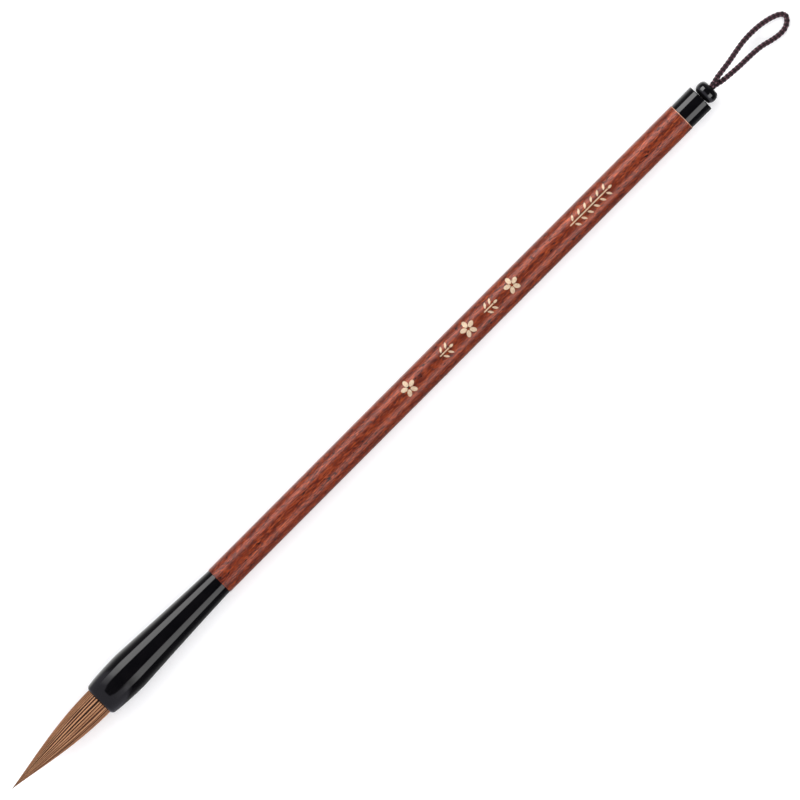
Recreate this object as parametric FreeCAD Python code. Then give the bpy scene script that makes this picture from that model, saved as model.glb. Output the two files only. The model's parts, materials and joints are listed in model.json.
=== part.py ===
import FreeCAD, Part
import math
import os

from FreeCAD import Matrix, Vector

# A small calligraphy brush lying on a table, in millimetres.
#
# Every piece is first made on the brush's own axis: x is the distance from the hair's tip, y is
# across the brush and z is up from the axis. lay_down() then sets the finished piece on the table.

# hair tuft
HAIR_LENGTH = 32.25          # from the tip to the ferrule's mouth
HAIR_RADIUS = 4.0            # at the mouth and inside the ferrule
HAIR_SHAPE = 1.12            # power of the tuft's outline: 1 is a full ogive, more is a slimmer point
CORE_RADIUS = 2.1            # stiff core hairs inside the softer cover hairs
CORE_POINT = 4.0             # from the tip to where the cover hairs end
ROOT_DEPTH = 12.0            # hair inside the ferrule
FLEX_STATION = 21.0          # where the tuft bends
FLEX_CLEARANCE = 0.3
FLEX_RIM = 2.0               # from the bend to the root hairs' front rim

# thread and resin at the hair's root
THREAD_RADIUS = 0.2
THREAD_TURNS = 3
THREAD_DEPTH = 8.5           # from the mouth to the groove that the thread sits in
THREAD_PITCH = 0.45
RESIN_LENGTH = 3.0

# bell ferrule
FERRULE_LENGTH = 43.85
MOUTH_ROUND = 1.2
MOUTH_RADIUS = 4.86          # just behind the rounded mouth
BELLY_RADIUS = 5.46
BELLY_STATION = 10.7         # from the mouth
FERRULE_END_RADIUS = 3.87
HAIR_SOCKET_DEPTH = ROOT_DEPTH + RESIN_LENGTH
VENT_RADIUS = 1.5
TENON_SOCKET_DEPTH = 13.0

# wooden shaft
SHAFT_RADIUS = 4.0
SHAFT_LENGTH = 169.0         # between the ferrule and the end cap
FRONT_TENON_RADIUS = 2.95
FRONT_TENON_LENGTH = 12.6
REAR_TENON_RADIUS = 3.1
REAR_TENON_LENGTH = 4.5
KNOT_POCKET_RADIUS = 2.45
KNOT_POCKET_DEPTH = 7.5
GLUE_FILM = 0.1

# end cap
CAP_LENGTH = 7.0
CAP_RADIUS = 3.88            # at the shaft
CAP_END_RADIUS = 3.93        # a moulded cap widens a little towards its closed end
CAP_ROUND = 0.3
CAP_WALL = 2.3               # solid end with the cord's hole
CORD_HOLE_RADIUS = 1.8

# bead
BEAD_RADIUS = 3.015
BEAD_WIDTH = 3.56
BEAD_GAP = 0.2               # from the cap to the bead

# braided cord
CORD_RADIUS = 0.785
STRAND_OFFSET = 0.9          # of each strand's centre from the brush's axis, where the cord is doubled
SWING_STATION = 260.9        # where the loop swings
STEM_END = 1.1               # from the swing axis back to the doubled cord's end
KNOT_RADIUS = 2.3
KNOT_LENGTH = 5.6
KNOT_ROUND = 1.0
STRAND_IN_KNOT = 0.8

# gold foil pressed into the wood
INLAY_FLOOR = 0.15           # depth of the pressed groove, which the foil fills from side to side
INLAY_SUNK = 0.03            # the foil lies this far below the wood's surface
BLOSSOM_STATIONS = (145.9, 167.5, 183.4)
PETAL_LENGTH = 1.9
PETAL_WIDTH = 1.2
PETAL_REACH = 1.35           # from a blossom's middle to a petal's
SPRIG_STATIONS = (159.6, 175.7)
SPRIG_LENGTH = 4.7
BRANCH_STATION = 212.3
BRANCH_LENGTH = 15.0
STEM_WIDTH = 0.32
LEAF_LENGTH = 1.75
LEAF_WIDTH = 0.62
LEAF_REACH = 1.12            # from a stem's middle to a leaf's, across the brush
LEAF_ANGLE = 52
END_LEAF_LENGTH = 1.35
END_LEAF_WIDTH = 0.7
MARK_OFFSET = 0.5            # the row of marks lies to one side of the top

# stations along the brush, worked out from the sizes above
MOUTH = HAIR_LENGTH
FERRULE_END = MOUTH + FERRULE_LENGTH
SHAFT_END = FERRULE_END + SHAFT_LENGTH
CAP_END = SHAFT_END + CAP_LENGTH
BEAD_START = CAP_END + BEAD_GAP

# Two strands of one cord twist a quarter turn round each other, through the cap and the bead.
# Each point is a station and the angle of the first strand's centre round the axis, in degrees.
TWIST = ((248.2, 118.0), (251.6, 104.0), (254.9, 88.0), (257.2, 70.0), (258.6, 38.0),
         (SWING_STATION - STEM_END, 6.0))

# The loop's route, from where it swings, out along one side, round its fold and back.
LOOP_ROUTE = ((SWING_STATION, STRAND_OFFSET, 0.0), (263.8, 1.40, -0.30), (267.0, 2.05, -0.85),
              (270.5, 2.62, -1.55), (274.5, 2.66, -2.20), (277.8, 2.22, -2.60),
              (280.3, 1.55, -2.80), (281.9, 0.75, -2.88), (282.85, -0.45, -2.91),
              (282.65, -1.98, -2.91), (281.5, -2.90, -2.90), (278.8, -2.98, -2.84),
              (275.8, -2.50, -2.62), (272.5, -1.60, -2.05), (268.8, -1.35, -1.27),
              (264.8, -1.30, -0.45), (SWING_STATION, -STRAND_OFFSET, 0.0))


def point(station, radius):
    """A point of an outline, to be turned about the brush's axis."""
    return Vector(station, 0, radius)


def line(start, end):
    return Part.LineSegment(start, end).toShape()


def arc(start, middle, end):
    return Part.Arc(start, middle, end).toShape()


def curve(points):
    spline = Part.BSplineCurve()
    spline.interpolate(points)
    return spline.toShape()


def turned(edges):
    """The solid swept by a closed outline of edges, turned about the brush's axis."""
    return Part.Face(Part.Wire(edges)).revolve(Vector(0, 0, 0), Vector(1, 0, 0), 360)


def turned_corners(*corners):
    """The same for an outline of straight lines, given as pairs of station and radius."""
    points = [point(*corner) for corner in corners]
    return turned([line(a, b) for a, b in zip(points, points[1:] + points[:1])])


def rod(start, end, radius):
    return Part.makeCylinder(radius, end - start, Vector(start, 0, 0), Vector(1, 0, 0))


def sleeve(start, end, inner, outer):
    return rod(start, end, outer).cut(rod(start, end, inner))


# ---------------------------------------------------------------- hair

def hair_radius(station):
    return HAIR_RADIUS * math.sin(math.pi / 2 * station / HAIR_LENGTH) ** HAIR_SHAPE


def hair_outline(start, end, steps):
    """The tuft's outline as one smooth edge between two stations."""
    stations = [start + (end - start) * i / steps for i in range(steps + 1)]
    return curve([point(s, hair_radius(s) if s else 0.0) for s in stations])


FLEX_RADIUS = hair_radius(FLEX_STATION)


def core_outline():
    """The core's side, from where it leaves the tuft's outline to the bend."""
    return curve([
        point(CORE_POINT, hair_radius(CORE_POINT)),
        point(CORE_POINT + 4.5, 1.15),
        point(CORE_POINT + 10.5, 1.75),
        point(FLEX_STATION, CORE_RADIUS),
    ])


def knuckle_point(radius):
    """A point on the ball that the moving hairs end in, at this distance from the axis."""
    return point(FLEX_STATION + math.sqrt(FLEX_RADIUS ** 2 - radius ** 2), radius)


def core_hair_tip():
    back = knuckle_point(0)
    side = knuckle_point(CORE_RADIUS)
    return turned([
        hair_outline(0, CORE_POINT, 4),
        core_outline(),
        line(point(FLEX_STATION, CORE_RADIUS), side),
        arc(side, knuckle_point(CORE_RADIUS / 2), back),
        line(back, point(0, 0)),
    ])


def cover_hair_tip():
    inner = knuckle_point(CORE_RADIUS)
    return turned([
        hair_outline(CORE_POINT, FLEX_STATION, 6),
        arc(point(FLEX_STATION, FLEX_RADIUS), knuckle_point((CORE_RADIUS + FLEX_RADIUS) / 2), inner),
        line(inner, point(FLEX_STATION, CORE_RADIUS)),
        core_outline(),
    ])


def flex_cup():
    """The hollow in the root hairs that the moving hairs' ball turns in."""
    return Part.makeSphere(FLEX_RADIUS + FLEX_CLEARANCE, Vector(FLEX_STATION, 0, 0))


def core_hair_root():
    return rod(FLEX_STATION, MOUTH + ROOT_DEPTH, CORE_RADIUS).cut(flex_cup())


def cover_hair_root():
    rim = FLEX_STATION + FLEX_RIM
    end = MOUTH + ROOT_DEPTH
    hairs = turned([
        line(point(rim, CORE_RADIUS), point(rim, hair_radius(rim))),
        hair_outline(rim, MOUTH, 4),
        line(point(MOUTH, HAIR_RADIUS), point(end, HAIR_RADIUS)),
        line(point(end, HAIR_RADIUS), point(end, CORE_RADIUS)),
        line(point(end, CORE_RADIUS), point(rim, CORE_RADIUS)),
    ])
    groove = MOUTH + THREAD_DEPTH
    groove_end = groove + THREAD_PITCH * (THREAD_TURNS + 0.5)
    tied = sleeve(groove, groove_end, HAIR_RADIUS - 2.2 * THREAD_RADIUS, HAIR_RADIUS + 1)
    return hairs.cut(flex_cup()).cut(tied)


def binding_thread():
    first = MOUTH + THREAD_DEPTH + 0.75 * THREAD_PITCH
    turns = [
        Part.makeTorus(HAIR_RADIUS - 1.1 * THREAD_RADIUS, THREAD_RADIUS,
                       Vector(first + THREAD_PITCH * i, 0, 0), Vector(1, 0, 0))
        for i in range(THREAD_TURNS)
    ]
    return Part.makeCompound(turns)


def resin_plug():
    start = MOUTH + ROOT_DEPTH
    return rod(start, start + RESIN_LENGTH, HAIR_RADIUS)


# ---------------------------------------------------------------- ferrule

def ferrule():
    """A bell: round mouth, belly near the mouth, then a long taper to the shaft."""
    lip = point(MOUTH, MOUTH_RADIUS - MOUTH_ROUND)
    shoulder = point(MOUTH + MOUTH_ROUND, MOUTH_RADIUS)
    belly = MOUTH + BELLY_STATION
    end = point(FERRULE_END, FERRULE_END_RADIUS)
    corner = point(MOUTH + MOUTH_ROUND * (1 - math.sqrt(0.5)),
                   MOUTH_RADIUS - MOUTH_ROUND * (1 - math.sqrt(0.5)))
    bell = turned([
        arc(lip, corner, shoulder),
        curve([shoulder, point(MOUTH + 2.5, 5.07), point(MOUTH + 6.4, 5.31), point(belly, BELLY_RADIUS),
               point(MOUTH + 15.2, 5.24), point(MOUTH + 24.1, 4.76), point(MOUTH + 34.0, 4.28), end]),
        line(end, point(FERRULE_END, 0)),
        line(point(FERRULE_END, 0), point(MOUTH, 0)),
        line(point(MOUTH, 0), lip),
    ])
    hair_socket = rod(MOUTH, MOUTH + HAIR_SOCKET_DEPTH, HAIR_RADIUS)
    vent = rod(MOUTH, FERRULE_END, VENT_RADIUS)
    tenon_socket = rod(FERRULE_END - TENON_SOCKET_DEPTH, FERRULE_END, FRONT_TENON_RADIUS + GLUE_FILM)
    return bell.cut(hair_socket).cut(vent).cut(tenon_socket)


def ferrule_glue():
    return sleeve(FERRULE_END - FRONT_TENON_LENGTH, FERRULE_END - GLUE_FILM,
                  FRONT_TENON_RADIUS, FRONT_TENON_RADIUS + GLUE_FILM)


# ---------------------------------------------------------------- shaft with its gold marks

def leaf(station, across, length, width, angle):
    """A pointed leaf seen from above, as a face: two equal arcs about a long axis at this angle."""
    tip = Vector(length / 2, 0, 0)
    side = Vector(0, width / 2, 0)
    outline = Part.Wire([arc(-tip, side, tip), arc(tip, -side, -tip)])
    outline.rotate(Vector(0, 0, 0), Vector(0, 0, 1), angle)
    outline.translate(Vector(station, across, 0))
    return Part.Face(outline)


def petal(station, angle):
    """One round petal of a blossom, as a face: an ellipse that points away from the middle."""
    outline = Part.Ellipse(Vector(0, 0, 0), PETAL_LENGTH / 2, PETAL_WIDTH / 2).toShape()
    outline.translate(Vector(PETAL_REACH, 0, 0))
    outline.rotate(Vector(0, 0, 0), Vector(0, 0, 1), angle)
    outline.translate(Vector(station, MARK_OFFSET, 0))
    return Part.Face(Part.Wire(outline))


def blossom(station):
    return [petal(station, 18 + 72 * i) for i in range(5)]


def sprig(station, length, pairs):
    """A thin stem along the brush with pairs of leaves and one leaf past its end."""
    start = station - length / 2
    stem_length = length - END_LEAF_LENGTH - 0.1
    spacing = stem_length / pairs
    marks = [Part.makePlane(stem_length, STEM_WIDTH, Vector(start, MARK_OFFSET - STEM_WIDTH / 2, 0))]
    for i in range(pairs):
        for side in (-1, 1):
            marks.append(leaf(start + spacing * (i + 0.8), MARK_OFFSET + side * LEAF_REACH,
                              LEAF_LENGTH, LEAF_WIDTH, side * LEAF_ANGLE))
    marks.append(leaf(start + length - END_LEAF_LENGTH / 2, MARK_OFFSET, END_LEAF_LENGTH, END_LEAF_WIDTH, 0))
    return marks


def gold_marks():
    """Every mark as a flat face."""
    marks = []
    for station in BLOSSOM_STATIONS:
        marks += blossom(station)
    for station in SPRIG_STATIONS:
        marks += sprig(station, SPRIG_LENGTH, 2)
    marks += sprig(BRANCH_STATION, BRANCH_LENGTH, 6)
    return marks


def pressed(inner, outer):
    """The marks wrapped onto the top of the shaft, between two radii."""
    band = sleeve(BLOSSOM_STATIONS[0] - 10, BRANCH_STATION + 15, inner, outer)
    solids = []
    for mark in gold_marks():
        solids += mark.extrude(Vector(0, 0, 2 * SHAFT_RADIUS)).common(band).Solids
    return Part.makeCompound(solids)


def gold_inlay():
    return pressed(SHAFT_RADIUS - INLAY_FLOOR, SHAFT_RADIUS - INLAY_SUNK)


def handle_shaft():
    front = FERRULE_END - FRONT_TENON_LENGTH
    rear = SHAFT_END + REAR_TENON_LENGTH
    wood = turned_corners(
        (front, 0), (front, FRONT_TENON_RADIUS), (FERRULE_END, FRONT_TENON_RADIUS),
        (FERRULE_END, SHAFT_RADIUS), (SHAFT_END, SHAFT_RADIUS), (SHAFT_END, REAR_TENON_RADIUS),
        (rear, REAR_TENON_RADIUS), (rear, KNOT_POCKET_RADIUS),
        (rear - KNOT_POCKET_DEPTH, KNOT_POCKET_RADIUS), (rear - KNOT_POCKET_DEPTH, 0),
    )
    return wood.cut(pressed(SHAFT_RADIUS - INLAY_FLOOR, SHAFT_RADIUS + 1))


# ---------------------------------------------------------------- end cap and bead

def end_cap():
    wall = CAP_END - CAP_WALL
    socket = REAR_TENON_RADIUS + GLUE_FILM
    edge = point(CAP_END - CAP_ROUND, CAP_END_RADIUS)
    face = point(CAP_END, CAP_END_RADIUS - CAP_ROUND)
    middle = point(CAP_END - CAP_ROUND * (1 - math.sqrt(0.5)),
                   CAP_END_RADIUS - CAP_ROUND * (1 - math.sqrt(0.5)))
    corners = [face, point(CAP_END, CORD_HOLE_RADIUS), point(wall, CORD_HOLE_RADIUS), point(wall, socket),
               point(SHAFT_END, socket), point(SHAFT_END, CAP_RADIUS), edge]
    return turned([arc(edge, middle, face)] + [line(a, b) for a, b in zip(corners, corners[1:])])


def cap_glue():
    return sleeve(SHAFT_END + GLUE_FILM, SHAFT_END + REAR_TENON_LENGTH,
                  REAR_TENON_RADIUS, REAR_TENON_RADIUS + GLUE_FILM)


def bead():
    """A flattened round bead: half an ellipse turned about the cord's hole."""
    centre = BEAD_START + BEAD_WIDTH / 2
    section = Part.Ellipse(Vector(BEAD_START, 0, CORD_HOLE_RADIUS),
                           point(centre, BEAD_RADIUS), point(centre, CORD_HOLE_RADIUS))
    upper = section.toShape().common(
        Part.makeBox(BEAD_WIDTH + 2, 2, BEAD_RADIUS, Vector(BEAD_START - 1, -1, CORD_HOLE_RADIUS)))
    hole_side = line(point(BEAD_START, CORD_HOLE_RADIUS), point(BEAD_START + BEAD_WIDTH, CORD_HOLE_RADIUS))
    return turned(Part.sortEdges(upper.Edges + [hole_side])[0])


# ---------------------------------------------------------------- cord

def cord_tube(name, route):
    """A round tube along straight runs joined by arcs, each as large as its two runs allow."""
    route = [Vector(*p) for p in route]
    runs = [b - a for a, b in zip(route, route[1:])]
    edges = []
    radii = []
    start = route[0]
    for corner, before, after in zip(route[1:], runs, runs[1:]):
        turn = before.getAngle(after)
        shorter = min(before.Length, after.Length)
        reach = 0.45 * shorter
        radius = reach / math.tan(turn / 2)
        first = corner - Vector(before).normalize() * reach
        last = corner + Vector(after).normalize() * reach
        inward = (first + last) * 0.5 - corner
        to_arc = radius / math.cos(turn / 2) - radius
        middle = corner + inward.normalize() * to_arc
        edges += [line(start, first), arc(first, middle, last)]
        radii.append(radius)
        start = last
    edges.append(line(start, route[-1]))
    path = Part.Wire(edges)
    section = Part.Wire(Part.makeCircle(CORD_RADIUS, route[0], runs[0]))
    tube = path.makePipeShell([section], True, False)
    expected = math.pi * CORD_RADIUS ** 2 * path.Length
    print(f"{name}: length {path.Length:.2f}, volume {tube.Volume:.2f} of {expected:.2f},",
          "radii", " ".join(f"{r:.1f}" for r in radii))
    return tube


def strand(first_angle):
    """One strand of the doubled cord, through the cap and the bead."""
    route = []
    for station, angle in TWIST:
        turn = math.radians(angle + first_angle)
        route.append((station, STRAND_OFFSET * math.cos(turn), STRAND_OFFSET * math.sin(turn)))
    return cord_tube("cord stem", route)


def cord_stem():
    return Part.makeCompound([strand(0), strand(180)])


def cord_loop():
    tube = cord_tube("cord loop", LOOP_ROUTE)
    ends = [Part.makeSphere(CORD_RADIUS, Vector(*LOOP_ROUTE[i])) for i in (0, -1)]
    return tube.fuse(ends).removeSplitter()


def cord_knot(stem):
    """The knot behind the cap's hole, with the two strands' ends in it."""
    end = TWIST[0][0] + STRAND_IN_KNOT
    knot = rod(end - KNOT_LENGTH, end, KNOT_RADIUS)
    rims = [e for e in knot.Edges if e.Closed]
    return knot.makeFillet(KNOT_ROUND, rims).cut(stem)


# ---------------------------------------------------------------- the brush on its table

STEM = cord_stem()
PIECES = {
    "core_hair_tip": core_hair_tip(),
    "cover_hair_tip": cover_hair_tip(),
    "core_hair_root": core_hair_root(),
    "cover_hair_root": cover_hair_root(),
    "binding_thread": binding_thread(),
    "resin_plug": resin_plug(),
    "ferrule": ferrule(),
    "ferrule_glue": ferrule_glue(),
    "handle_shaft": handle_shaft(),
    "gold_inlay": gold_inlay(),
    "end_cap": end_cap(),
    "cap_glue": cap_glue(),
    "bead": bead(),
    "cord_stem": STEM,
    "cord_loop": cord_loop(),
    "cord_knot": cord_knot(STEM),
}
CORD_PIECES = ("bead", "cord_stem", "cord_loop", "cord_knot")


def resting_place():
    """The brush leans back until both the ferrule's belly and the shaft's rear end touch the table,
    and its origin is the middle of the bottom of its box, measured without the cord's pieces."""
    belly = MOUTH + BELLY_STATION
    lean = math.asin((BELLY_RADIUS - SHAFT_RADIUS) / (SHAFT_END - belly))
    place = Matrix()
    place.rotateY(lean)
    boxes = [shape.transformed(place).optimalBoundingBox(False)
             for name, shape in PIECES.items() if name not in CORD_PIECES]
    low = min(box.XMin for box in boxes)
    high = max(box.XMax for box in boxes)
    place.move(Vector(-(low + high) / 2, 0, -min(box.ZMin for box in boxes)))
    return place


REST = resting_place()


def lay_down(shape):
    return shape.transformed(REST)


os.makedirs("parts", exist_ok=True)
for name, shape in PIECES.items():
    lay_down(shape).exportStep(f"parts/{name}.step")

for label, station in (("hair tip", 0), ("tuft bend", FLEX_STATION), ("mouth", MOUTH),
                       ("ferrule end", FERRULE_END), ("shaft end", SHAFT_END), ("cap end", CAP_END),
                       ("loop swing", SWING_STATION), ("loop fold", 282.5)):
    place = REST.multVec(Vector(station, 0, 0))
    print(f"{label}: {place.x:.4f} {place.y:.4f} {place.z:.4f}")
print("axis:", REST.multVec(Vector(1, 0, 0)) - REST.multVec(Vector(0, 0, 0)))
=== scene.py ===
import json
import math
import random

import bpy
from mathutils import Matrix, Quaternion, Vector


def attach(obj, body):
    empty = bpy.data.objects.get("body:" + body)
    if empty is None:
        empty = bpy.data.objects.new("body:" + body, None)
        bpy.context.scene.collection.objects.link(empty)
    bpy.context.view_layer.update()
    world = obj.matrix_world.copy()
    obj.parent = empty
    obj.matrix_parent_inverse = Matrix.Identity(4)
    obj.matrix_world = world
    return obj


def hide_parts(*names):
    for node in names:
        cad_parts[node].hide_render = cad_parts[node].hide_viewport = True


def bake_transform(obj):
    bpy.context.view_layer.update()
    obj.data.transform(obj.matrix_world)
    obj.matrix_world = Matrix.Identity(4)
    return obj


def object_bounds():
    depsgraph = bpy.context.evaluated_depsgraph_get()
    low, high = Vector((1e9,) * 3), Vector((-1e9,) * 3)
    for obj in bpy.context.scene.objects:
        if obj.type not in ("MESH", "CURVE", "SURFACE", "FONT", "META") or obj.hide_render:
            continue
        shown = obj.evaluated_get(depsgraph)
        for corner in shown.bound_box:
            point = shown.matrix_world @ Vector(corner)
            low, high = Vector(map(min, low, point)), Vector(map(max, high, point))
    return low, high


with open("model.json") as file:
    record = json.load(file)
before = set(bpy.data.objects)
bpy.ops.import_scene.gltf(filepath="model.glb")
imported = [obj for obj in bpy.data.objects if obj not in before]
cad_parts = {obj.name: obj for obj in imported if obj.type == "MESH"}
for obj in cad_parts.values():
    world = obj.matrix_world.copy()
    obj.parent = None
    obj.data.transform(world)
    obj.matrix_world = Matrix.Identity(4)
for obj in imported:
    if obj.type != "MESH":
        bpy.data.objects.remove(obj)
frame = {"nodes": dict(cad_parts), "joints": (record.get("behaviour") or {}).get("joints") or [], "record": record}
cad_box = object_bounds()

# ------------------------------------------------------------------ the brush's own axis
# A place is given as a station (the distance from the hair's tip), across and up from the axis,
# all in millimetres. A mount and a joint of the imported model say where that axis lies.

MM = 0.001
MOUTH = 32.25                # of the ferrule
FERRULE_END = 76.1
SHAFT_END = 245.1
CAP_END = 252.1
BEAD_START = 252.3
SWING_STATION = 260.9        # where the loop swings

joints = {joint["name"]: joint for joint in frame["joints"]}
mounts = {mount["name"]: mount for mount in frame["record"]["mounts"]}
AXIS = Vector(mounts["handle_grip"]["axis"]).normalized()
ACROSS = Vector((0, 1, 0))
UP = AXIS.cross(ACROSS)
TIP = Vector(joints["loop_swing"]["pos_m"]) - AXIS * SWING_STATION * MM


def place(station, across=0.0, up=0.0):
    return TIP + (AXIS * station + ACROSS * across + UP * up) * MM


# ------------------------------------------------------------------ camera

VIEW_STATION = 142.05        # the middle of the picture
VIEW_ACROSS = -0.07
VIEW_WIDTH = 206.4           # what the picture spans at the brush
VIEW_TURN = math.radians(45.09)
LENS = 600.0                 # a long lens far away: almost no perspective
SENSOR = 36.0


def add_camera():
    """Straight above the brush and turned, so that the brush runs from corner to corner."""
    data = bpy.data.cameras.new("camera")
    data.lens = LENS
    data.sensor_width = SENSOR
    data.clip_start = 0.01
    data.clip_end = 10
    camera = bpy.data.objects.new("camera", data)
    bpy.context.scene.collection.objects.link(camera)
    right = AXIS * math.cos(VIEW_TURN) - ACROSS * math.sin(VIEW_TURN)
    top = AXIS * math.sin(VIEW_TURN) + ACROSS * math.cos(VIEW_TURN)
    height = VIEW_WIDTH * LENS / SENSOR
    axes = Matrix((right, top, UP)).transposed()
    where = Matrix.Translation(place(VIEW_STATION, VIEW_ACROSS, height))
    camera.matrix_world = where @ axes.to_4x4()
    bpy.context.scene.camera = camera


add_camera()

# ------------------------------------------------------------------ shader helpers


def linear(red, green, blue):
    """An sRGB colour of 0 to 255 as the linear colour that a shader takes."""
    def channel(value):
        value /= 255
        return value / 12.92 if value <= 0.04045 else ((value + 0.055) / 1.055) ** 2.4
    return (channel(red), channel(green), channel(blue), 1.0)


class Shading:
    """Short calls for the shader nodes of a material, a light or the world."""

    def __init__(self, owner):
        owner.use_nodes = True
        self.nodes = owner.node_tree.nodes
        self.links = owner.node_tree.links

    def add(self, kind, inputs=None, **settings):
        node = self.nodes.new(kind)
        for key, value in settings.items():
            setattr(node, key, value)
        for key, value in (inputs or {}).items():
            if isinstance(value, bpy.types.NodeSocket):
                self.links.new(value, node.inputs[key])
            else:
                node.inputs[key].default_value = value
        return node

    def coordinates(self, scale, source="Object"):
        where = self.add("ShaderNodeTexCoord")
        mapping = self.add("ShaderNodeMapping", {"Vector": where.outputs[source], "Scale": scale})
        return mapping.outputs["Vector"]

    def noise(self, scale, detail=3.0, roughness=0.5, distortion=0.0, source="Object"):
        node = self.add("ShaderNodeTexNoise", {
            "Vector": self.coordinates(scale, source), "Scale": 1.0, "Detail": detail,
            "Roughness": roughness, "Distortion": distortion})
        return node.outputs["Fac"]

    def ramp(self, value, stops):
        """A colour ramp: stops are pairs of position and either a grey or a linear colour."""
        node = self.add("ShaderNodeValToRGB", {"Fac": value})
        elements = node.color_ramp.elements
        while len(elements) < len(stops):
            elements.new(0.5)
        for element, (position, colour) in zip(elements, stops):
            element.position = position
            element.color = colour if isinstance(colour, tuple) else (colour, colour, colour, 1.0)
        return node.outputs["Color"]

    def mix(self, factor, first, second, blend_type="MIX"):
        """A mix of two colours. For colours the node uses sockets 6 and 7 and output 2."""
        node = self.add("ShaderNodeMix", data_type="RGBA", blend_type=blend_type)
        for index, value in ((0, factor), (6, first), (7, second)):
            if isinstance(value, bpy.types.NodeSocket):
                self.links.new(value, node.inputs[index])
            else:
                node.inputs[index].default_value = value
        return node.outputs[2]

    def math(self, operation, first, second=0.0, third=0.0):
        node = self.add("ShaderNodeMath", {0: first, 1: second, 2: third}, operation=operation)
        return node.outputs[0]

    def step(self, value, start, end, low=0.0, high=1.0):
        """A smooth step between two values of the input."""
        node = self.add("ShaderNodeMapRange", {
            "Value": value, "From Min": start, "From Max": end, "To Min": low, "To Max": high},
            interpolation_type="SMOOTHSTEP")
        return node.outputs[0]

    def attribute(self, name):
        return self.add("ShaderNodeAttribute", attribute_name=name).outputs["Fac"]


class Material(Shading):
    """A material with one principled shader."""

    def __init__(self, name):
        self.material = bpy.data.materials.new(name)
        super().__init__(self.material)
        self.shader = self.nodes["Principled BSDF"]

    def put(self, socket, value):
        self.shader.inputs[socket].default_value = value

    def feed(self, socket, output):
        self.links.new(output, self.shader.inputs[socket])

    def bump(self, height, strength, distance_mm):
        node = self.add("ShaderNodeBump", {
            "Height": height, "Strength": strength, "Distance": distance_mm * MM})
        self.feed("Normal", node.outputs["Normal"])


# ------------------------------------------------------------------ materials

EDGE_HIGHLIGHT = 0.18             # width of the painted highlight on the wood's edge at the cap
EDGE_HIGHLIGHT_FADE = 0.08        # how much of it is the change to the wood's own colour


def rosewood():
    """Red-brown wood with fibres, flecks, streaks, orange figure and dark pores.

    Its orange figure is partly painted sheen, and its light fibres and flecks are painted glints.
    Along the joint with the cap its edge has a painted highlight.
    """
    wood = Material("rosewood")
    clouds = wood.noise((160, 700, 700), detail=5, roughness=0.7, distortion=0.5)
    streaks = wood.noise((45, 2400, 2400), detail=3, roughness=0.65)
    fibres = wood.noise((1000, 4500, 4500), detail=2, roughness=0.7)
    flame = wood.noise((120, 1900, 1900), detail=4, roughness=0.7, distortion=0.3)
    flecks = wood.noise((600, 5800, 5800), detail=1, roughness=0.6)
    base = wood.ramp(clouds, [
        (0.34, linear(82, 24, 12)), (0.46, linear(110, 36, 18)),
        (0.56, linear(126, 45, 20)), (0.68, linear(142, 57, 23))])
    lined = wood.mix(wood.ramp(streaks, [(0.36, 0.5), (0.50, 0.0)]), base, linear(68, 20, 11))
    # orange figure of the wood, partly painted sheen
    lit = wood.mix(wood.ramp(flame, [(0.56, 0.0), (0.67, 0.55)]), lined, linear(192, 90, 36))
    fibred = wood.mix(wood.ramp(fibres, [(0.34, 0.9), (0.48, 0.0)]), lit, linear(50, 14, 9))
    # painted glints: light specks on the fibres
    fibre_glints = wood.mix(wood.ramp(fibres, [(0.54, 0.0), (0.66, 0.65)]), fibred, linear(184, 86, 48))
    flecked = wood.mix(wood.ramp(flecks, [(0.40, 0.6), (0.51, 0.0)]), fibre_glints, linear(56, 16, 10))
    # painted glints: light specks in the flecks
    fleck_glints = wood.mix(wood.ramp(flecks, [(0.54, 0.0), (0.63, 0.36)]), flecked, linear(190, 94, 58))
    pore_noise = wood.noise((850, 3200, 3200), detail=1, roughness=0.5)
    pore_patches = wood.noise((170, 600, 600), detail=2)
    pores = wood.math("MULTIPLY", wood.ramp(pore_noise, [(0.61, 0.0), (0.64, 1.0)]),
                      wood.ramp(pore_patches, [(0.49, 0.0), (0.54, 1.0)]))
    along = wood.add("ShaderNodeSeparateXYZ", {0: wood.coordinates((1, 1, 1))}).outputs["X"]
    # painted highlight: a pale band along the wood's edge at the cap
    edge_start = SHAFT_END - EDGE_HIGHLIGHT
    edge_highlight = wood.step(
        along, place(edge_start).x, place(edge_start + EDGE_HIGHLIGHT_FADE).x, high=0.52)
    whole = wood.mix(pores, fleck_glints, linear(20, 10, 12))
    wood.feed("Base Color", wood.mix(edge_highlight, whole, linear(226, 182, 154)))
    wood.feed("Metallic", wood.ramp(fibres, [(0.35, 0.12), (0.65, 0.30)]))
    wood.feed("Roughness", wood.ramp(fibres, [(0.3, 0.33), (0.7, 0.24)]))
    wood.put("Specular IOR Level", 0.40)
    relief = wood.math("MULTIPLY_ADD", pores, -1.2, wood.math("MULTIPLY", fibres, 0.8))
    wood.bump(relief, 0.35, 0.05)
    return wood.material


def black_horn(name, gloss):
    """Polished black plastic that imitates horn, with a little haze and fine rubbing marks."""
    horn = Material(name)
    haze = horn.noise((260, 260, 260), detail=4, roughness=0.6)
    rubbed = horn.noise((60, 4200, 4200), detail=2)
    specks = horn.noise((2200, 2200, 2200), detail=1)
    horn.feed("Base Color", horn.ramp(haze, [(0.3, linear(7, 7, 9)), (0.7, linear(13, 12, 14))]))
    dull = horn.math("ADD", horn.ramp(haze, [(0.35, 0.03), (0.7, 0.06)]),
                     horn.ramp(rubbed, [(0.52, 0.0), (0.80, 0.04)]))
    horn.feed("Roughness", horn.math("ADD", dull, horn.ramp(specks, [(0.72, 0.0), (0.78, 0.10)])))
    horn.put("Specular IOR Level", gloss)
    horn.bump(horn.noise((700, 700, 700), detail=2), 0.03, 0.02)
    return horn.material


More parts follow.
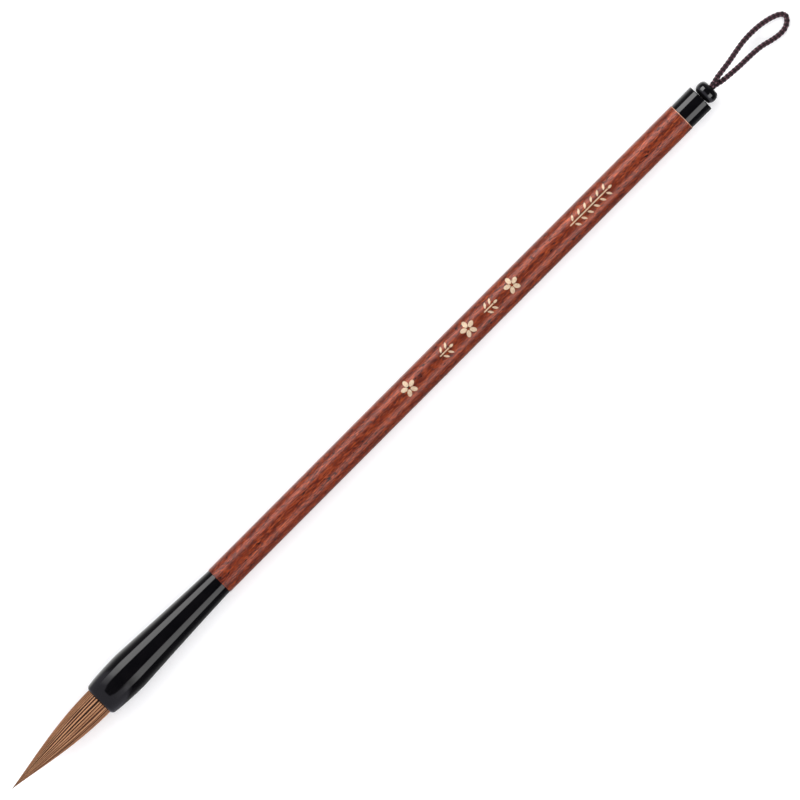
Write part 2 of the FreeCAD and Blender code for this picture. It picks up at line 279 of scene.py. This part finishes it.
def gold_foil():
    """Pale gold foil pressed into wood: slightly dull, thin in places."""
    gold = Material("gold_foil")
    worn = gold.noise((3200, 3200, 3200), detail=4, roughness=0.65)
    gold.feed("Base Color", gold.ramp(worn, [
        (0.28, linear(132, 98, 72)), (0.40, linear(184, 158, 128)), (0.66, linear(212, 192, 164))]))
    gold.feed("Roughness", gold.ramp(worn, [(0.3, 0.6), (0.7, 0.35)]))
    gold.put("Metallic", 0.2)
    gold.bump(worn, 0.4, 0.03)
    return gold.material


def braid_yarn():
    """Waxed nylon yarn: dark purple-brown, with the fine threads that run along it, painted highlights on its
    crowns and painted shade in its dips.
    """
    yarn = Material("braid_yarn")
    threads = yarn.noise((0.9, 16, 1), detail=2, source="UV")
    tone = yarn.attribute("yarn_tone_and_shade")
    colour = yarn.mix(tone, linear(10, 5, 7), linear(138, 100, 110))
    yarn.feed("Base Color", yarn.mix(
        yarn.ramp(threads, [(0.38, 0.5), (0.58, 0.0)]), colour, linear(16, 10, 12)))
    yarn.feed("Roughness", yarn.ramp(threads, [(0.3, 0.45), (0.7, 0.28)]))
    yarn.put("Specular IOR Level", 0.22)
    yarn.bump(threads, 0.6, 0.03)
    return yarn.material


def animal_hair():
    """Brown animal hair: each hair and each lock has its own tone, from dark brown to tan."""
    hair = Material("animal_hair")
    tone = hair.attribute("hair_tone")
    along = hair.noise((120, 700, 700), detail=3)
    colour = hair.ramp(tone, [
        (0.0, linear(36, 17, 10)), (0.30, linear(80, 45, 28)),
        (0.65, linear(144, 96, 64)), (1.0, linear(208, 156, 116))])
    hair.feed("Base Color", hair.mix(
        hair.ramp(along, [(0.36, 0.25), (0.55, 0.0)]), colour, linear(70, 42, 28)))
    hair.feed("Roughness", hair.ramp(along, [(0.3, 0.5), (0.7, 0.36)]))
    hair.put("Specular IOR Level", 0.3)
    return hair.material


def pale_floor():
    """A matt white table top that glows a little, so that it stays white beside the brush."""
    floor = Material("pale_floor")
    grain = floor.noise((60, 60, 60), detail=3)
    floor.feed("Base Color", floor.ramp(grain, [(0.3, 0.94), (0.7, 0.96)]))
    floor.put("Roughness", 0.8)
    # painted light: the floor glows a little, which lightens the brush's shadow on it
    floor.put("Emission Color", (1.0, 1.0, 1.0, 1.0))
    floor.put("Emission Strength", 0.15)
    return floor.material


def quiet(name, colour, roughness):
    """A plain material with a little mottling, for pieces hidden inside the brush."""
    hidden = Material(name)
    mottle = hidden.noise((700, 700, 700), detail=3)
    dark = tuple(0.7 * c for c in colour[:3]) + (1.0,)
    hidden.feed("Base Color", hidden.ramp(mottle, [(0.3, dark), (0.7, colour)]))
    hidden.put("Roughness", roughness)
    return hidden.material


MATERIALS = {
    "rosewood": rosewood(),
    "black_horn": black_horn("black_horn", 0.5),
    "gold_foil": gold_foil(),
    "braid": braid_yarn(),
    "hair": animal_hair(),
    "core_hair": quiet("core_hair", linear(120, 82, 60), 0.5),
    "thread": quiet("waxed_thread", linear(220, 214, 198), 0.6),
    "resin": quiet("amber_resin", linear(150, 104, 48), 0.2),
    "glue": quiet("clear_glue", linear(214, 202, 170), 0.25),
}
GLOSSY_BLACK = black_horn("glossy_black_horn", 0.65)
for subpart in frame["record"]["subparts"]:
    mesh = frame["nodes"][subpart["node"]].data
    mesh.materials.clear()
    mesh.materials.append(MATERIALS[subpart["material_slot"]])

# ------------------------------------------------------------------ mesh helpers


def link_mesh(name, vertices, faces, material, smooth=True):
    """A new object in the scene, with one material."""
    mesh = bpy.data.meshes.new(name)
    mesh.from_pydata(vertices, [], faces)
    mesh.materials.append(material)
    mesh.polygons.foreach_set("use_smooth", [smooth] * len(mesh.polygons))
    piece = bpy.data.objects.new(name, mesh)
    bpy.context.scene.collection.objects.link(piece)
    return piece


def band(near, far, sides):
    """The faces between two rings of vertices, each ring given by its first vertex."""
    faces = []
    for corner in range(sides):
        beside = (corner + 1) % sides
        faces.append((near + corner, near + beside, far + beside, far + corner))
    return faces


def tube(first, rings, sides):
    """The faces of a tube of rings whose vertices are numbered from first, closed at both ends."""
    faces = []
    for ring in range(rings - 1):
        near = first + ring * sides
        faces += band(near, near + sides, sides)
    last = first + (rings - 1) * sides
    faces.append(tuple(range(first + sides - 1, first - 1, -1)))
    faces.append(tuple(range(last, last + sides)))
    return faces


def untwisted_frames(points):
    """A direction along the line and a side direction that never twists, for each of its points."""
    forward = []
    for index in range(len(points)):
        before = points[max(index - 1, 0)]
        after = points[min(index + 1, len(points) - 1)]
        forward.append((after - before).normalized())
    side = forward[0].orthogonal().normalized()
    frames = [(forward[0], side)]
    for last, current in zip(forward, forward[1:]):
        side = last.rotation_difference(current) @ side
        side = (side - current * side.dot(current)).normalized()
        frames.append((current, side))
    return frames


def rounded(corners, radii, steps=5):
    """An outline through these corners. radii gives a rounding for some of them, by number."""
    outline = []
    for index, corner in enumerate(corners):
        here = Vector(corner)
        radius = radii.get(index, 0.0)
        start = here + (Vector(corners[index - 1]) - here).normalized() * radius
        end = here + (Vector(corners[(index + 1) % len(corners)]) - here).normalized() * radius
        for step in range(steps + 1) if radius else (0,):
            part = step / steps
            outline.append(tuple(start.lerp(here, part).lerp(here.lerp(end, part), part)))
    return outline


def smooth_line(knots, steps):
    """Points of a smooth curve through knots of (station, radius)."""
    widths = [b[0] - a[0] for a, b in zip(knots, knots[1:])]
    rises = [(b[1] - a[1]) / width for a, b, width in zip(knots, knots[1:], widths)]
    slopes = [(r0 * w1 + r1 * w0) / (w0 + w1)
              for r0, r1, w0, w1 in zip(rises, rises[1:], widths, widths[1:])]
    slopes = [2 * rises[0] - slopes[0]] + slopes + [2 * rises[-1] - slopes[-1]]
    points = []
    for i, width in enumerate(widths):
        for step in range(steps):
            t = step / steps
            up = 3 * t ** 2 - 2 * t ** 3
            leaving = (t ** 3 - 2 * t ** 2 + t) * width * slopes[i]
            arriving = (t ** 3 - t ** 2) * width * slopes[i + 1]
            radius = (1 - up) * knots[i][1] + up * knots[i + 1][1] + leaving + arriving
            points.append((knots[i][0] + width * t, radius))
    return points + [knots[-1]]


SHARP_ANGLE = 28.0           # an edge that turns by more than this stays crisp


def lathe(name, outline, material, around=192):
    """A closed outline of (station, radius) points, turned about the brush's axis."""
    vertices = []
    for station, radius in outline:
        for step in range(around):
            angle = 2 * math.pi * step / around
            vertices.append(place(station, radius * math.sin(angle), radius * math.cos(angle)))
    faces = []
    for ring in range(len(outline)):
        following = (ring + 1) % len(outline)
        faces += band(ring * around, following * around, around)
    piece = link_mesh(name, vertices, faces, material)
    piece.data.set_sharp_from_angle(angle=math.radians(SHARP_ANGLE))
    return piece


# ------------------------------------------------------------------ ferrule, end cap and bead

MOUTH_ROUND = 1.2
MOUTH_STEPS = 12
HAIR_RADIUS = 4.0            # at the mouth and in the ferrule's socket
HAIR_SOCKET_DEPTH = 15.0
VENT_RADIUS = 1.5
TENON_SOCKET_DEPTH = 13.0
TENON_SOCKET_RADIUS = 3.05
FERRULE_END_ROUND = 0.1
CAP_RADIUS = 3.88
CAP_END_RADIUS = 3.93
CAP_WALL = 2.3               # solid end with the cord's hole
CAP_SOCKET_RADIUS = 3.2
CORD_HOLE_RADIUS = 1.8       # in the cap and the bead
BEAD_WIDTH = 3.56
BEAD_RADIUS = 3.015
BEAD_STEPS = 40

# The bell's outline behind its rounded mouth, as stations and radii.
BELL = ((MOUTH + MOUTH_ROUND, 4.86), (MOUTH + 2.2, 5.01), (MOUTH + 3.6, 5.145), (MOUTH + 5.4, 5.27),
        (MOUTH + 7.6, 5.38), (MOUTH + 10.7, 5.46), (MOUTH + 15.2, 5.24), (MOUTH + 24.1, 4.76),
        (MOUTH + 34.0, 4.28), (FERRULE_END, 3.87))


def bell_ferrule():
    lip = BELL[0][1] - MOUTH_ROUND
    mouth = []
    for step in range(MOUTH_STEPS):
        angle = math.pi / 2 * step / MOUTH_STEPS
        mouth.append((MOUTH + MOUTH_ROUND * (1 - math.cos(angle)),
                      lip + MOUTH_ROUND * math.sin(angle)))
    side = smooth_line(BELL, 10)[:-1]
    end = rounded([(FERRULE_END - 0.5, 3.89), BELL[-1], (FERRULE_END, TENON_SOCKET_RADIUS)],
                  {1: FERRULE_END_ROUND})[1:]
    tenon_floor = FERRULE_END - TENON_SOCKET_DEPTH
    hair_floor = MOUTH + HAIR_SOCKET_DEPTH
    hollow = [(tenon_floor, TENON_SOCKET_RADIUS), (tenon_floor, VENT_RADIUS),
              (hair_floor, VENT_RADIUS), (hair_floor, HAIR_RADIUS), (MOUTH + 0.4, HAIR_RADIUS)]
    return lathe("bell_ferrule", mouth + side + end + hollow, MATERIALS["black_horn"])


def end_cap():
    wall = CAP_END - CAP_WALL
    corners = [(SHAFT_END, CAP_RADIUS), (CAP_END, CAP_END_RADIUS), (CAP_END, CORD_HOLE_RADIUS),
               (wall, CORD_HOLE_RADIUS), (wall, CAP_SOCKET_RADIUS), (SHAFT_END, CAP_SOCKET_RADIUS)]
    outline = rounded(corners, {0: 0.12, 1: 0.3, 2: 0.15})
    return lathe("polished_cap", outline, MATERIALS["black_horn"])


def cord_bead():
    """Half an ellipse, turned about the cord's hole."""
    outline = []
    for step in range(BEAD_STEPS + 1):
        angle = math.pi * step / BEAD_STEPS
        outline.append((BEAD_START + BEAD_WIDTH / 2 * (1 - math.cos(angle)),
                        CORD_HOLE_RADIUS + (BEAD_RADIUS - CORD_HOLE_RADIUS) * math.sin(angle)))
    return lathe("polished_bead", outline, GLOSSY_BLACK)


bead = cord_bead()
for piece, body, node in ((bell_ferrule(), "handle", "ferrule"), (end_cap(), "handle", "end_cap"),
                          (bead, "sliding_bead", "bead")):
    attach(piece, body)
    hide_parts(node)

# ------------------------------------------------------------------ cord

# The cord's control points: the two strands' twist as stations and angles in degrees, and the loop.
TWIST = ((248.2, 118.0), (251.6, 104.0), (254.9, 88.0), (257.2, 70.0), (258.6, 38.0), (259.8, 6.0))
LOOP = ((263.8, 1.40, -0.30), (267.0, 2.05, -0.85), (270.5, 2.62, -1.55), (274.5, 2.66, -2.20),
        (277.8, 2.22, -2.60), (280.3, 1.55, -2.80), (282.0, 0.75, -2.88), (282.85, -0.35, -2.91),
        (282.1, -1.65, -2.91), (280.7, -2.60, -2.90), (278.6, -2.95, -2.84), (275.8, -2.50, -2.62),
        (272.5, -1.60, -2.05), (268.8, -1.35, -1.27), (264.8, -1.30, -0.45))
STRAND_OFFSET = 0.9          # of each strand's centre from the axis, where the cord is doubled
CORD_DIAMETER = 1.57
CARRIERS = 8                 # yarns in the braid, half of them winding each way
BRAID_PITCH = 4.6            # length of cord in which a yarn goes once round
YARN_WIDTH = 0.56
YARN_THICKNESS = 0.34
YARN_LIFT = 0.15             # how far a yarn rises and dips where it crosses another
YARN_SIDES = 10
YARN_STEPS = 28              # sections in one turn of a yarn


def strand_points(first_angle):
    points = []
    for station, angle in TWIST:
        turn = math.radians(angle + first_angle)
        points.append(place(
            station, STRAND_OFFSET * math.cos(turn), STRAND_OFFSET * math.sin(turn)))
    return points


def cord_route():
    """The cord's control points, from the knot out through the bead, round the loop and back."""
    return strand_points(0) + [place(*p) for p in LOOP] + strand_points(180)[::-1]


def nurbs_line(name, control, resolution):
    """Points read from a smooth NURBS line with these control points."""
    data = bpy.data.curves.new(name, "CURVE")
    data.dimensions = "3D"
    spline = data.splines.new("NURBS")
    spline.points.add(len(control) - 1)
    for point, where in zip(spline.points, control):
        point.co = (*where, 1.0)
    spline.order_u = 3
    spline.use_endpoint_u = True
    spline.resolution_u = resolution
    curve = bpy.data.objects.new(name, data)
    bpy.context.scene.collection.objects.link(curve)
    bpy.context.view_layer.update()
    line = bpy.data.meshes.new_from_object(curve)
    points = [vertex.co.copy() for vertex in line.vertices]
    bpy.data.objects.remove(curve)
    bpy.data.meshes.remove(line)
    return points


def evenly(points, spacing):
    """The same line with its points about this far apart."""
    lengths = [0.0]
    for a, b in zip(points, points[1:]):
        lengths.append(lengths[-1] + (b - a).length)
    count = round(lengths[-1] / spacing)
    result = []
    index = 0
    for i in range(count + 1):
        target = lengths[-1] * i / count
        while index < len(lengths) - 2 and lengths[index + 1] < target:
            index += 1
        part = (target - lengths[index]) / (lengths[index + 1] - lengths[index])
        result.append(points[index].lerp(points[index + 1], min(max(part, 0.0), 1.0)))
    return result


def yarn_rings(line, frames, spacing, direction, start_angle):
    """One yarn. It winds round the cord's line, over one crossing yarn and under the next, with painted light on
    its crowns and painted shade where it dips under.
    """
    middle_radius = CORD_DIAMETER / 2 - YARN_THICKNESS / 2 - YARN_LIFT
    slant = math.atan2(2 * math.pi * middle_radius * direction, BRAID_PITCH)
    vertices = []
    crown_light = []
    for index, (centre, (forward, side)) in enumerate(zip(line, frames)):
        turn = 2 * math.pi * index * spacing / BRAID_PITCH
        outward = Quaternion(forward, direction * turn + start_angle) @ side
        wide = forward.cross(outward) * math.cos(slant) - forward * math.sin(slant)
        height = direction * math.cos(CARRIERS / 2 * turn)
        radius = middle_radius + YARN_LIFT * height
        # painted light: the yarn's light tone shows only near its crown, with painted shade where it dips under
        crown_light += [max(height, 0.0) ** 2] * YARN_SIDES
        middle = centre + outward * radius * MM
        for corner in range(YARN_SIDES):
            angle = 2 * math.pi * corner / YARN_SIDES
            vertices.append(middle + (wide * math.cos(angle) * YARN_WIDTH
                                      + outward * math.sin(angle) * YARN_THICKNESS) / 2 * MM)
    return vertices, crown_light


def braided_cord():
    """Every yarn of the braid in one mesh, and the line that they follow."""
    line = evenly(nurbs_line("cord_line", cord_route(), 24), BRAID_PITCH / YARN_STEPS * MM)
    spacing = (line[1] - line[0]).length / MM
    frames = untwisted_frames(line)
    chance = random.Random(7)
    vertices = []
    faces = []
    tones = []
    uvs = []
    for direction in (1, -1):
        for number in range(CARRIERS // 2):
            start = len(vertices)
            start_angle = 4 * math.pi * number / CARRIERS
            rings, crown_light = yarn_rings(line, frames, spacing, direction, start_angle)
            vertices += rings
            shade = chance.uniform(0.75, 0.95) if direction == 1 else chance.uniform(0.02, 0.12)
            # painted light: each yarn's own tone on its crowns, with painted shade in its dips
            tones += [0.05 + shade * crown for crown in crown_light]
            faces += tube(start, len(line), YARN_SIDES)
            for ring in range(len(line) - 1):
                near, far = ring * spacing, (ring + 1) * spacing
                for corner in range(YARN_SIDES):
                    low, high = corner / YARN_SIDES, (corner + 1) / YARN_SIDES
                    uvs += [near, low, near, high, far, high, far, low]
            uvs += [0.0, 0.5] * 2 * YARN_SIDES
    braid = link_mesh("braided_cord", vertices, faces, MATERIALS["braid"])
    braid.data.attributes.new("yarn_tone_and_shade", "FLOAT", "POINT").data.foreach_set("value", tones)
    braid.data.uv_layers.new(name="yarn").data.foreach_set("uv", uvs)
    return braid, line


cord, cord_line = braided_cord()
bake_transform(cord)
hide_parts("cord_stem", "cord_loop")

# ------------------------------------------------------------------ hair tuft

HAIR_START = MOUTH + 4.0     # the visible hairs begin inside the ferrule
HAIR_END = 0.15
TUFT_SECTIONS = 22
HAIR_WAVE = 0.015            # how far a hair wanders round the tuft, as an angle in radians
CLUMP_COUNT = 68
CLUMP_WIDTH = 0.66           # of the room that a clump has, how much its hairs fill
BUNDLE_DEPTH = 0.88          # the inner bundle's share of the tuft's radius
# the inner bundle's tone: near-black, painted shade between the locks
BUNDLE_SHADE_TONE = 0.02
LOCK_LAYERS = ((126, 0.925), (168, 0.955))   # how many locks, at which share of the radius
DARK_DEPTH = 0.05            # how much deeper the darkest hairs lie, as a share of the radius
LOOSE_HAIR_COUNT = 1000
LOOSE_HAIR_WIDTH = 0.085
TUFT_TAPER = 1.12            # over 1, the point is slimmer than a sine's


def hair_radius(station):
    return HAIR_RADIUS * math.sin(math.pi / 2 * min(station, MOUTH) / MOUTH) ** TUFT_TAPER


def hair_piece(name, vertices, faces, tones):
    piece = link_mesh(name, vertices, faces, MATERIALS["hair"])
    piece.data.attributes.new("hair_tone", "FLOAT", "POINT").data.foreach_set("value", tones)
    return piece


class Hairs:
    """Collects tapered hairs that lie along the tuft, and makes one mesh of them."""

    def __init__(self, sides):
        self.sides = sides
        self.vertices = []
        self.faces = []
        self.tones = []

    def lay(self, angle, end, depth, width, thickness, drift, wave, tone):
        """One hair, from the ferrule to the station end. depth is its share of the radius."""
        first = len(self.vertices)
        for section in range(TUFT_SECTIONS + 1):
            part = section / TUFT_SECTIONS
            station = HAIR_START + (end - HAIR_START) * part ** 0.9
            full = hair_radius(station)
            turn = angle + drift * part + HAIR_WAVE * math.sin(wave + 7 * part) * (1 - 0.5 * part)
            reach = full * depth
            narrow = (full / HAIR_RADIUS) ** 0.75 * (1 - part ** 6) + 0.02
            for corner in range(self.sides):
                bend = 2 * math.pi * corner / self.sides
                out = reach + thickness * narrow * math.cos(bend) / 2
                over = width * narrow * math.sin(bend) / 2
                self.vertices.append(place(
                    station, out * math.sin(turn) + over * math.cos(turn),
                    out * math.cos(turn) - over * math.sin(turn)))
                self.tones.append(tone)
        self.faces += tube(first, TUFT_SECTIONS + 1, self.sides)

    def make(self, name):
        return hair_piece(name, self.vertices, self.faces, self.tones)


def make_clumps(count):
    """The start, end, tone, drift and wave of each clump of hairs, dark and light in turn."""
    chance = random.Random(23)
    widths = [chance.uniform(0.6, 1.4) for _ in range(count)]
    clumps = []
    start = 0.0
    for number, width in enumerate(widths):
        end = start + 2 * math.pi * width / sum(widths)
        clumps.append((start, end, chance.uniform(0.0, 0.3) + 0.62 * (number % 2),
                       chance.gauss(0, 0.03), chance.uniform(0, 2 * math.pi)))
        start = end
    return clumps


CLUMPS = make_clumps(CLUMP_COUNT)


def in_clump(chance, angle):
    """The angle, tone, drift and wave of a hair, drawn in towards the middle of its clump."""
    clump = next((clump for clump in CLUMPS if angle < clump[1]), CLUMPS[-1])
    start, end, tone, drift, wave = clump
    middle = (start + end) / 2
    tone = min(max(tone + chance.uniform(-0.12, 0.12), 0.0), 1.0)
    return (middle + (angle - middle) * CLUMP_WIDTH, tone, drift + chance.gauss(0, 0.006),
            wave + chance.uniform(-0.3, 0.3))


def inner_bundle():
    """The dark, finely grooved bundle that shows between the locks: its darkness is painted shade in the gaps."""
    around = 96
    sections = 40
    vertices = []
    for section in range(sections + 1):
        station = HAIR_START + (HAIR_END + 0.4 - HAIR_START) * section / sections
        radius = BUNDLE_DEPTH * hair_radius(station)
        for step in range(around):
            angle = 2 * math.pi * step / around
            grooved = radius * (1 + 0.015 * math.sin(31 * angle) + 0.01 * math.sin(47 * angle + 1))
            vertices.append(place(station, grooved * math.sin(angle), grooved * math.cos(angle)))
    tones = [BUNDLE_SHADE_TONE] * len(vertices)
    return hair_piece("inner_bundle", vertices, tube(0, sections + 1, around), tones)


def hair_locks():
    """Locks of a few hairs that cling together, in layers. The dark ones lie a little deeper."""
    chance = random.Random(5)
    locks = Hairs(8)
    for count, depth in LOCK_LAYERS:
        for number in range(count):
            angle = 2 * math.pi * (number + chance.uniform(0.2, 0.8)) / count
            angle, tone, drift, wave = in_clump(chance, angle)
            locks.lay(angle, end=HAIR_END + 9 * chance.random() ** 2.2,
                      depth=depth - DARK_DEPTH * (1 - tone) + chance.uniform(-0.01, 0.01),
                      width=chance.uniform(0.12, 0.22), thickness=chance.uniform(0.12, 0.2),
                      drift=drift, wave=wave, tone=tone)
    return locks.make("hair_locks")


def loose_hairs():
    """Single hairs on top of the locks. Each ends at its own place short of the tip."""
    chance = random.Random(11)
    hairs = Hairs(4)
    for _ in range(LOOSE_HAIR_COUNT):
        angle, tone, drift, wave = in_clump(chance, chance.uniform(0, 2 * math.pi))
        hairs.lay(angle, end=HAIR_END + 14 * chance.random() ** 2.4,
                  depth=chance.uniform(0.955, 0.988) - DARK_DEPTH * (1 - tone),
                  width=LOOSE_HAIR_WIDTH, thickness=LOOSE_HAIR_WIDTH,
                  drift=drift, wave=wave, tone=tone)
    return hairs.make("loose_hairs")


for tuft in (inner_bundle(), hair_locks(), loose_hairs()):
    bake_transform(tuft)
    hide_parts("cover_hair_root", "cover_hair_tip", "core_hair_root", "core_hair_tip")

# ------------------------------------------------------------------ floor, light and surroundings

FLOOR_REACH = 3.0            # to each side of the brush, in metres
STRIP_START = -90.0          # a strip light reaches between these stations
STRIP_END = 480.0
STRIP_DISTANCE = 620.0
FILL_START = -500.0          # and a fill light between these
FILL_END = 780.0
FILL_SPREAD = 56.0
FILL_DISTANCE = 900.0


def add_floor():
    height = min(cad_box[0][2], 0.0)
    corners = [(FLOOR_REACH * x, FLOOR_REACH * y, height)
               for x, y in ((-1, -1), (1, -1), (1, 1), (-1, 1))]
    floor = link_mesh("floor", corners, [(0, 1, 2, 3)], pale_floor(), smooth=False)
    floor.visible_glossy = False


def add_panel(name, start, end, lean, spread, side, radiance, distance):
    """A soft light that lies along the brush between two stations and faces it.

    lean is its angle from straight up and spread the angle that it fills across the brush, both in
    degrees.
    """
    length = end - start
    height = 2 * distance * math.tan(math.radians(spread / 2))
    data = bpy.data.lights.new(name, "AREA")
    data.shape = "RECTANGLE"
    data.size = length * MM
    data.size_y = height * MM
    data.energy = radiance * math.pi * length * height * MM * MM
    light = bpy.data.objects.new(name, data)
    bpy.context.scene.collection.objects.link(light)
    tilt = math.radians(lean)
    away = ACROSS * side * math.sin(tilt) + UP * math.cos(tilt)
    axes = Matrix((AXIS, away.cross(AXIS), away)).transposed()
    centre = place((start + end) / 2) + away * distance * MM
    light.matrix_world = Matrix.Translation(centre) @ axes.to_4x4()
    return light


def shade_panel(panel, start, end, stops):
    """Makes a panel brighter and dimmer along its length: stops are pairs of station and share."""
    light = Shading(panel.data)
    where = light.add("ShaderNodeNewGeometry").outputs["Parametric"]
    along = light.add("ShaderNodeSeparateXYZ", {0: where}).outputs["X"]
    shares = light.ramp(along, [
        ((station - start) / (end - start), share) for station, share in stops])
    light.links.new(shares, light.nodes["Emission"].inputs["Color"])


def add_world():
    """Dim surroundings: brightest below, more on the left than the right, a glow past the tip."""
    world = bpy.data.worlds.new("studio")
    bpy.context.scene.world = world
    room = Shading(world)
    direction = room.add("ShaderNodeTexCoord").outputs["Generated"]
    along, across, up = room.add("ShaderNodeSeparateXYZ", {0: direction}).outputs
    by_height = room.ramp(room.math("MULTIPLY_ADD", up, 0.5, 0.5), [
        (0.0, 1.3), (0.20, 1.1), (0.275, 0.60), (0.355, 0.30), (0.43, 0.14), (0.50, 0.09),
        (0.80, 0.05), (0.88, 0.005)])
    lit_side = room.step(across, -0.35, 0.35, 0.22, 1.0)
    lit_end = room.math("MULTIPLY", room.step(along, -0.6, -0.1, 0.3, 1.0),
                        room.step(along, 0.4, 0.8, 1.0, 2.6))
    below = room.mix(1.0, by_height, room.math("MULTIPLY", lit_side, lit_end), "MULTIPLY")
    steepening = room.math("MULTIPLY", room.math("POWER", across, 4.0), 0.55)
    widening = room.math("MINIMUM", steepening, 0.115)
    glow = room.ramp(room.step(room.math("SUBTRACT", along, widening), -0.195, -0.215),
                     [(0.0, 0.0), (1.0, (0.47, 0.46, 0.53, 1.0))])
    room.links.new(room.mix(1.0, below, glow, "LIGHTEN"), room.nodes["Background"].inputs["Color"])


add_floor()
for name, side, lean, spread, radiance, stops in (
        ("left_strip", 1, 55.8, 36.5, 4.8, (
            (-74, 0.0), (-45, 0.14), (-30, 0.28), (-20, 0.54), (10, 0.64), (46, 0.69), (140, 0.74),
            (225, 1.0), (450, 1.0), (480, 0.0))),
        ("right_strip", -1, 51.5, 37.5, 3.4, (
            (-74, 0.0), (-36, 0.06), (-21, 0.22), (10, 0.38), (46, 0.50), (79, 0.62), (140, 0.70),
            (225, 0.88), (450, 0.90), (480, 0.0)))):
    strip = add_panel(name, STRIP_START, STRIP_END, lean, spread, side, radiance, STRIP_DISTANCE)
    shade_panel(strip, STRIP_START, STRIP_END, stops)
for name, lean, side, radiance in (("left_fill", 48.0, 1, 0.8), ("right_fill", 48.0, -1, 0.55),
                                   ("top_fill", 0.0, 1, 1.35)):
    fill = add_panel(name, FILL_START, FILL_END, lean, FILL_SPREAD, side, radiance, FILL_DISTANCE)
    fill.visible_glossy = False
add_world()
bpy.context.scene.view_settings.view_transform = "Standard"
